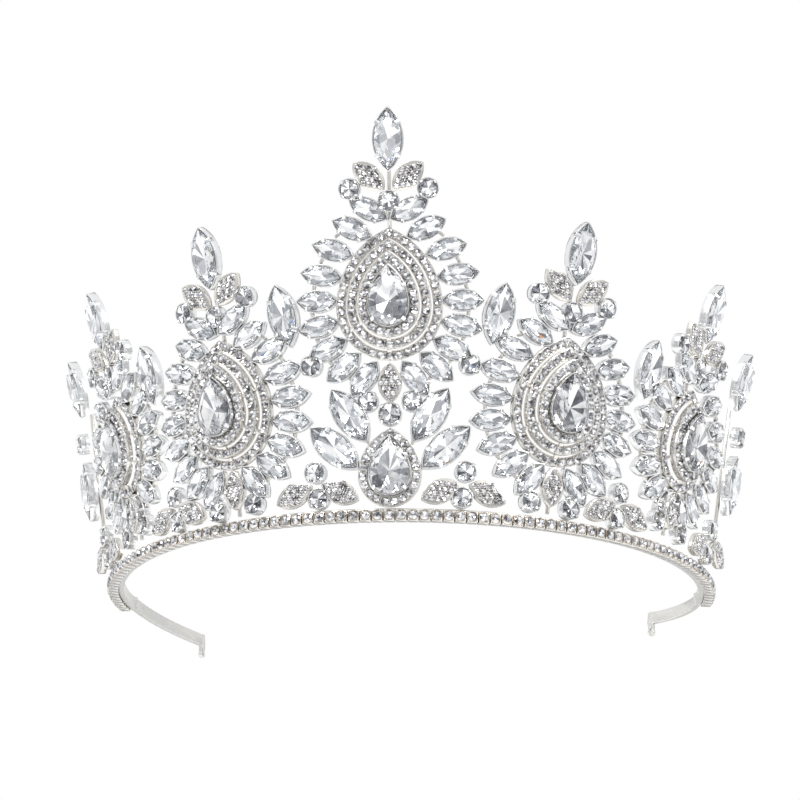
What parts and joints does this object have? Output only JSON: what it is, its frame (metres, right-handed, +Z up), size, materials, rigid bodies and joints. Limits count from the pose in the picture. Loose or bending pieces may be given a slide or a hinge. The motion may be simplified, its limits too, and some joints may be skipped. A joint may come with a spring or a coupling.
{
  "type": "crown",
  "caption": "Open-backed rhinestone tiara: pointed medallions of foiled stones in plated cups on a curved headband with an eye at each end.",
  "frame": {"origin": "centre of the circle the headband is bent on, at the headband's lower edge", "axes": "+X to the wearer's left, which is the right as seen from the front; -Y out of the front of the crown; +Z up"},
  "size_m": [0.174, 0.1497, 0.0993],
  "materials": {
    "plated_castings": "bright silver plating on cast zinc alloy",
    "plated_strip": "satin silver plating on spring steel strip",
    "crystal": "clear faceted glass with a silver foil back"
  },
  "bodies": {
    "root": {"headband": "plated_strip", "left_end_eye": "plated_strip", "right_end_eye": "plated_strip", "rail_cups": "plated_castings", "rail_stones": "crystal", "center_ring": "plated_castings", "center_ring_stones": "crystal", "center_pear_cup": "plated_castings", "center_pear_stone": "crystal", "center_ray_cups": "plated_castings", "center_ray_stones": "crystal", "center_leaves": "plated_castings", "center_leaf_stones": "crystal", "inner_left_ring": "plated_castings", "inner_left_ring_stones": "crystal", "inner_left_pear_cup": "plated_castings", "inner_left_pear_stone": "crystal", "inner_left_ray_cups": "plated_castings", "inner_left_ray_stones": "crystal", "inner_left_leaves": "plated_castings", "inner_left_leaf_stones": "crystal", "inner_right_ring": "plated_castings", "inner_right_ring_stones": "crystal", "inner_right_pear_cup": "plated_castings", "inner_right_pear_stone": "crystal", "inner_right_ray_cups": "plated_castings", "inner_right_ray_stones": "crystal", "inner_right_leaves": "plated_castings", "inner_right_leaf_stones": "crystal", "outer_left_ring": "plated_castings", "outer_left_ring_stones": "crystal", "outer_left_pear_cup": "plated_castings", "outer_left_pear_stone": "crystal", "outer_left_ray_cups": "plated_castings", "outer_left_ray_stones": "crystal", "outer_left_leaves": "plated_castings", "outer_left_leaf_stones": "crystal", "outer_right_ring": "plated_castings", "outer_right_ring_stones": "crystal", "outer_right_pear_cup": "plated_castings", "outer_right_pear_stone": "crystal", "outer_right_ray_cups": "plated_castings", "outer_right_ray_stones": "crystal", "outer_right_leaves": "plated_castings", "outer_right_leaf_stones": "crystal", "finial_cups": "plated_castings", "finial_stones": "crystal", "spacer_cups": "plated_castings", "spacer_stones": "crystal", "fan_cups": "plated_castings", "fan_stones": "crystal", "round_cups": "plated_castings", "round_stones": "crystal", "tie_bars": "plated_castings", "drop_ring": "plated_castings", "drop_ring_stones": "crystal", "drop_cup": "plated_castings", "drop_stone": "crystal", "base_leaves": "plated_castings", "base_leaf_stones": "crystal"}
  },
  "joints": []
}
